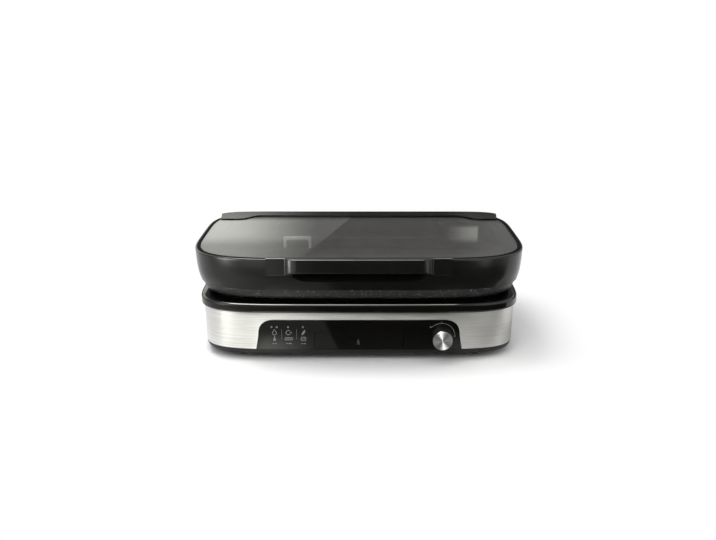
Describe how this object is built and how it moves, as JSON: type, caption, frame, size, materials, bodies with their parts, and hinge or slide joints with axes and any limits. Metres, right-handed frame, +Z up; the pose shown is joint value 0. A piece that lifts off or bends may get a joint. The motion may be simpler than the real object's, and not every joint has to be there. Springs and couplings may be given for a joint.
{
  "type": "electric table grill",
  "caption": "Low rounded electric table grill with a hinged smoked glass lid, steel band, control panel, knob and drip tray.",
  "frame": {"origin": "on the surface that the feet stand on, under the middle of the object's box", "axes": "+X to the right seen from the control panel, +Y towards the hinges, +Z up"},
  "size_m": [0.456, 0.3262, 0.1445],
  "materials": {
    "black_plastic": "satin moulded, very dark warm grey",
    "gloss_black": "high gloss",
    "brushed_steel": "horizontal brushing",
    "smoked_glass": "smoked, clear gloss",
    "seal_rubber": "matt silicone",
    "foot_rubber": "matt",
    "cast_coating": "dark non-stick coat with pale speckle",
    "reflector_sheet": "aluminised sheet",
    "element_tube": "oxidised sheath",
    "ceramic": "matt",
    "plain_steel": "satin",
    "spun_metal": "spun, circular grain",
    "circuit_board": "solder resist",
    "lamp_lens": "frosted clear",
    "light_plastic": "natural nylon"
  },
  "bodies": {
    "base": {"base_pan": "black_plastic", "steel_band": "brushed_steel", "base_rim": "gloss_black", "control_panel": "gloss_black", "control_board": "circuit_board", "rotary_control": "plain_steel", "tray_runner_left": "plain_steel", "tray_runner_right": "plain_steel", "grill_plate": "cast_coating", "plate_lift_tab": "plain_steel", "heat_reflector": "reflector_sheet", "heating_element": "element_tube", "element_insulator_left": "ceramic", "element_insulator_right": "ceramic", "element_bracket_left": "plain_steel", "element_bracket_right": "plain_steel", "temperature_sensor": "spun_metal", "thermal_fuse": "ceramic", "power_board": "circuit_board", "terminal_block": "light_plastic", "cord_gland": "foot_rubber", "hinge_bracket_left": "black_plastic", "hinge_bracket_right": "black_plastic", "hinge_pin_left": "plain_steel", "hinge_pin_right": "plain_steel", "status_lens_1": "lamp_lens", "status_lens_2": "lamp_lens", "status_lens_3": "lamp_lens", "status_lens_4": "lamp_lens", "foot_front_left": "foot_rubber", "base_screw_front_left": "plain_steel", "foot_front_right": "foot_rubber", "base_screw_front_right": "plain_steel", "foot_rear_left": "foot_rubber", "base_screw_rear_left": "plain_steel", "foot_rear_right": "foot_rubber", "base_screw_rear_right": "plain_steel"},
    "lid": {"lid_frame": "black_plastic", "lid_glass": "smoked_glass", "glass_seal": "seal_rubber", "glass_retainer": "black_plastic", "hinge_cover": "black_plastic", "lid_grip": "black_plastic", "hinge_arm_left": "plain_steel", "hinge_arm_right": "plain_steel", "hinge_bush_left": "light_plastic", "hinge_bush_right": "light_plastic", "arm_screw_left": "plain_steel", "arm_screw_right": "plain_steel", "grip_screw_left": "plain_steel", "grip_screw_right": "plain_steel"},
    "knob": {"knob_body": "black_plastic", "knob_cap": "spun_metal", "knob_shaft": "plain_steel"},
    "tray": {"drip_tray": "black_plastic", "drip_tray_front": "gloss_black"}
  },
  "joints": [
    {"name": "lid_hinge", "type": "hinge", "parent": "base", "child": "lid", "pos_m": [0, 0.15685, 0.0923], "axis": [-1, 0, 0], "range_deg": [0, 98]},
    {"name": "knob_turn", "type": "hinge", "parent": "base", "child": "knob", "pos_m": [0.111, -0.14571, 0.0335], "axis": [0, 0.9996, 0.0292], "range_deg": [0, 143]},
    {"name": "drip_tray_slide", "type": "slide", "parent": "base", "child": "tray", "axis": [0, -1, 0], "range_m": [0, 0.12]}
  ]
}
